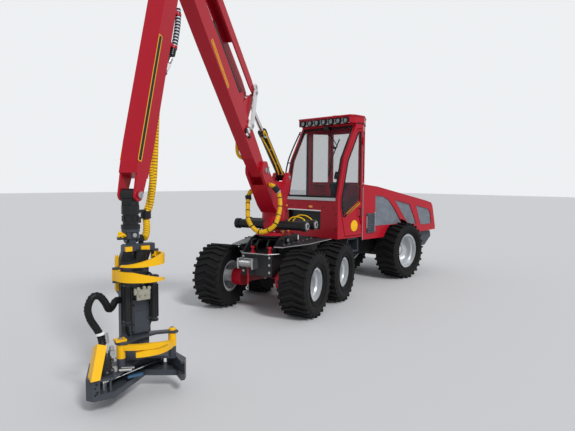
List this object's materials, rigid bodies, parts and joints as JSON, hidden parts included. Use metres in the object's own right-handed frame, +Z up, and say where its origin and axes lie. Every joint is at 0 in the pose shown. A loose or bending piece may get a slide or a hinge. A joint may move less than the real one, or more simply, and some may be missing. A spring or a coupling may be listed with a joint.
{
  "type": "six-wheeled thinning harvester",
  "caption": "Articulated forestry harvester: glazed cab, sloped engine hood, bogie front frame, parallel crane on a slewing column and a felling head hanging from its tip",
  "frame": {"origin": "middle of the bounding box on the ground", "axes": "+X forward along the rear frame, +Y to its left, +Z up"},
  "size_m": [8.0204, 3.1388, 4.3331],
  "materials": {
    "paint_red": "gloss crimson paint",
    "paint_black": "semi-gloss black paint",
    "paint_grey": "satin dark grey paint",
    "paint_pale": "satin pale grey paint",
    "paint_yellow": "worn yellow paint",
    "rim_silver": "satin silver paint",
    "tyre": "dusty black rubber",
    "glass": "clear glass",
    "chrome": "polished rod",
    "bright_steel": "worn bright steel",
    "seat_fabric": "dark woven cloth",
    "trim_plastic": "matt dark plastic",
    "hose_yellow": "yellow hose sleeve",
    "hose_black": "black hose"
  },
  "bodies": {
    "rear": {"rear_chassis": "paint_black", "rear_axle": "paint_black", "engine_block": "paint_grey", "hood": "paint_red", "hood_mesh": "paint_grey", "rear_bumper": "paint_grey", "cab_shell": "paint_red", "cab_glass": "glass", "cab_roof": "paint_red", "roof_lamps": "paint_pale", "seat": "seat_fabric", "console": "trim_plastic", "cab_steps": "paint_grey", "front_box": "paint_black"},
    "door": {"door": "paint_red", "door_glass": "glass"},
    "front": {"front_chassis": "paint_black", "deck": "paint_black", "slew_house": "paint_red", "rack_tubes": "paint_black", "bogie_beams": "paint_red", "winch": "bright_steel"},
    "column": {"column": "paint_red", "hose_column": "hose_yellow"},
    "boom": {"boom": "paint_red"},
    "lift_barrel": {"lift_barrel": "paint_black"},
    "lift_rod": {"lift_rod": "chrome"},
    "lever": {"lever": "paint_pale"},
    "link_bar": {"link_bar": "paint_red"},
    "stick_barrel": {"stick_barrel": "paint_black"},
    "stick_rod": {"stick_rod": "chrome"},
    "stick": {"stick": "paint_red", "hose_stick": "hose_yellow"},
    "tip_link": {"tip_link": "paint_black"},
    "rotator": {"rotator": "paint_black", "head_yoke": "paint_grey"},
    "head": {"head_frame": "paint_grey", "head_covers": "paint_yellow", "head_motors": "paint_black", "saw_box": "paint_grey", "hose_head": "hose_black"},
    "feed_roller_left": {"feed_roller_left": "paint_black"},
    "feed_roller_right": {"feed_roller_right": "paint_black"},
    "knife_left": {"knife_left": "paint_yellow"},
    "knife_right": {"knife_right": "paint_yellow"},
    "low_knife_left": {"low_knife_left": "paint_yellow"},
    "low_knife_right": {"low_knife_right": "paint_yellow"},
    "saw_bar": {"saw_bar": "chrome"},
    "wheel_rear_left": {"tyre_rear_left": "tyre", "rim_rear_left": "rim_silver"},
    "wheel_rear_right": {"tyre_rear_right": "tyre", "rim_rear_right": "rim_silver"},
    "wheel_front_left": {"tyre_front_left": "tyre", "rim_front_left": "rim_silver"},
    "wheel_front_right": {"tyre_front_right": "tyre", "rim_front_right": "rim_silver"},
    "wheel_mid_left": {"tyre_mid_left": "tyre", "rim_mid_left": "rim_silver"},
    "wheel_mid_right": {"tyre_mid_right": "tyre", "rim_mid_right": "rim_silver"}
  },
  "joints": [
    {"name": "frame_steer", "type": "hinge", "parent": "rear", "child": "front", "pos_m": [-1.13018, -0.71743, 0.637], "axis": [0, 0, 1], "range_deg": [-56, 20]},
    {"name": "door_swing", "type": "hinge", "parent": "rear", "child": "door", "pos_m": [-1.43018, -0.09143, 1.78], "axis": [0, 0, 1], "range_deg": [0, 80]},
    {"name": "slew", "type": "hinge", "parent": "front", "child": "column", "pos_m": [0.58172, -0.1612, 1.316], "axis": [0, 0, 1], "range_deg": [-118, 102]},
    {"name": "boom_lift", "type": "hinge", "parent": "column", "child": "boom", "pos_m": [1.14796, 0.11497, 1.92], "axis": [0.4384, -0.8988, 0], "range_deg": [-43, 30]},
    {"name": "stick_fold", "type": "hinge", "parent": "boom", "child": "stick", "pos_m": [2.98996, 1.01338, 3.87162], "axis": [-0.4384, 0.8988, 0], "range_deg": [-72, 28]},
    {"name": "lever_swing", "type": "hinge", "parent": "boom", "child": "lever", "pos_m": [1.50735, 0.29026, 2.44991], "axis": [-0.4384, 0.8988, 0], "range_deg": [-73, 29]},
    {"name": "link_swing", "type": "hinge", "parent": "lever", "child": "link_bar", "pos_m": [1.40147, 0.23862, 2.86346], "axis": [-0.4384, 0.8988, 0], "range_deg": [-29, 73]},
    {"name": "lift_barrel_swing", "type": "hinge", "parent": "column", "child": "lift_barrel", "pos_m": [0.28063, -0.30805, 1.835], "axis": [0.4384, -0.8988, 0], "range_deg": [-21.92, 15.59]},
    {"name": "lift_rod_slide", "type": "slide", "parent": "lift_barrel", "child": "lift_rod", "axis": [0.7179, 0.3501, 0.6017], "range_m": [-0.2368, 0.3372]},
    {"name": "stick_barrel_swing", "type": "hinge", "parent": "boom", "child": "stick_barrel", "pos_m": [1.6786, 0.37378, 2.77911], "axis": [0.4384, -0.8988, 0], "range_deg": [-1.02, 1.06]},
    {"name": "stick_rod_slide", "type": "slide", "parent": "stick_barrel", "child": "stick_rod", "axis": [0.6688, 0.3262, 0.6681], "range_m": [-0.2182, 0.0879]},
    {"name": "tip_swing", "type": "hinge", "parent": "stick", "child": "tip_link", "pos_m": [3.59435, 1.30816, 1.67212], "axis": [-0.4384, 0.8988, 0], "range_deg": [-60, 60]},
    {"name": "head_turn", "type": "hinge", "parent": "tip_link", "child": "rotator", "pos_m": [3.59435, 1.30816, 1.5], "axis": [0, 0, 1], "range_deg": [-170, 170]},
    {"name": "head_tilt", "type": "hinge", "parent": "rotator", "child": "head", "pos_m": [3.59435, 1.30816, 1.33052], "axis": [-0.9925, 0.1219, 0], "range_deg": [-10, 90]},
    {"name": "upper_knife_left", "type": "hinge", "parent": "head", "child": "knife_left", "pos_m": [3.38301, 1.31396, 1.15012], "axis": [0, 0, 1], "range_deg": [-5, 70]},
    {"name": "upper_knife_right", "type": "hinge", "parent": "head", "child": "knife_right", "pos_m": [3.70752, 1.27411, 1.03012], "axis": [0, 0, 1], "range_deg": [-71, 6]},
    {"name": "lower_knife_left", "type": "hinge", "parent": "head", "child": "low_knife_left", "pos_m": [3.24299, 1.3513, 0.43012], "axis": [0, 0, 1], "range_deg": [-5, 70]},
    {"name": "lower_knife_right", "type": "hinge", "parent": "head", "child": "low_knife_right", "pos_m": [3.7084, 1.33446, 0.43012], "axis": [0, 0, 1], "range_deg": [-71, 6]},
    {"name": "saw_swing", "type": "hinge", "parent": "head", "child": "saw_bar", "pos_m": [3.85293, 1.32175, 0.22012], "axis": [0, 0, 1], "range_deg": [-70, 0]},
    {"name": "feed_left", "type": "hinge", "parent": "head", "child": "feed_roller_left", "pos_m": [3.40303, 1.33367, 0.79012], "axis": [0, 0, 1], "continuous": true},
    {"name": "feed_right", "type": "hinge", "parent": "head", "child": "feed_roller_right", "pos_m": [3.63329, 1.31345, 0.79012], "axis": [0, 0, 1], "continuous": true},
    {"name": "wheel_rear_left", "type": "hinge", "parent": "rear", "child": "wheel_rear_left", "pos_m": [-2.61518, -0.08893, 0.51], "axis": [0, 1, 0], "continuous": true},
    {"name": "wheel_rear_right", "type": "hinge", "parent": "rear", "child": "wheel_rear_right", "pos_m": [-2.61518, -1.34593, 0.51], "axis": [0, 1, 0], "continuous": true},
    {"name": "wheel_front_left", "type": "hinge", "parent": "front", "child": "wheel_front_left", "pos_m": [0.70743, 0.56835, 0.44], "axis": [-0.309, 0.9511, 0], "continuous": true},
    {"name": "wheel_front_right", "type": "hinge", "parent": "front", "child": "wheel_front_right", "pos_m": [1.11224, -0.67753, 0.44], "axis": [-0.309, 0.9511, 0], "continuous": true},
    {"name": "wheel_mid_left", "type": "hinge", "parent": "front", "child": "wheel_mid_left", "pos_m": [-0.28167, 0.24698, 0.44], "axis": [-0.309, 0.9511, 0], "continuous": true},
    {"name": "wheel_mid_right", "type": "hinge", "parent": "front", "child": "wheel_mid_right", "pos_m": [0.12314, -0.99891, 0.44], "axis": [-0.309, 0.9511, 0], "continuous": true}
  ],
  "couplings": [
    {"joint": "lever_swing", "follows": "stick_fold", "ratio": 1},
    {"joint": "link_swing", "follows": "stick_fold", "ratio": -1},
    {"joint": "lift_barrel_swing", "follows": "boom_lift", "ratio": 0.48646},
    {"joint": "lift_rod_slide", "follows": "boom_lift", "m_per_rad": -0.44265},
    {"joint": "stick_barrel_swing", "follows": "stick_fold", "ratio": -0.00086},
    {"joint": "stick_rod_slide", "follows": "stick_fold", "m_per_rad": 0.16963},
    {"joint": "upper_knife_right", "follows": "upper_knife_left", "ratio": -1},
    {"joint": "lower_knife_right", "follows": "lower_knife_left", "ratio": -1}
  ]
}
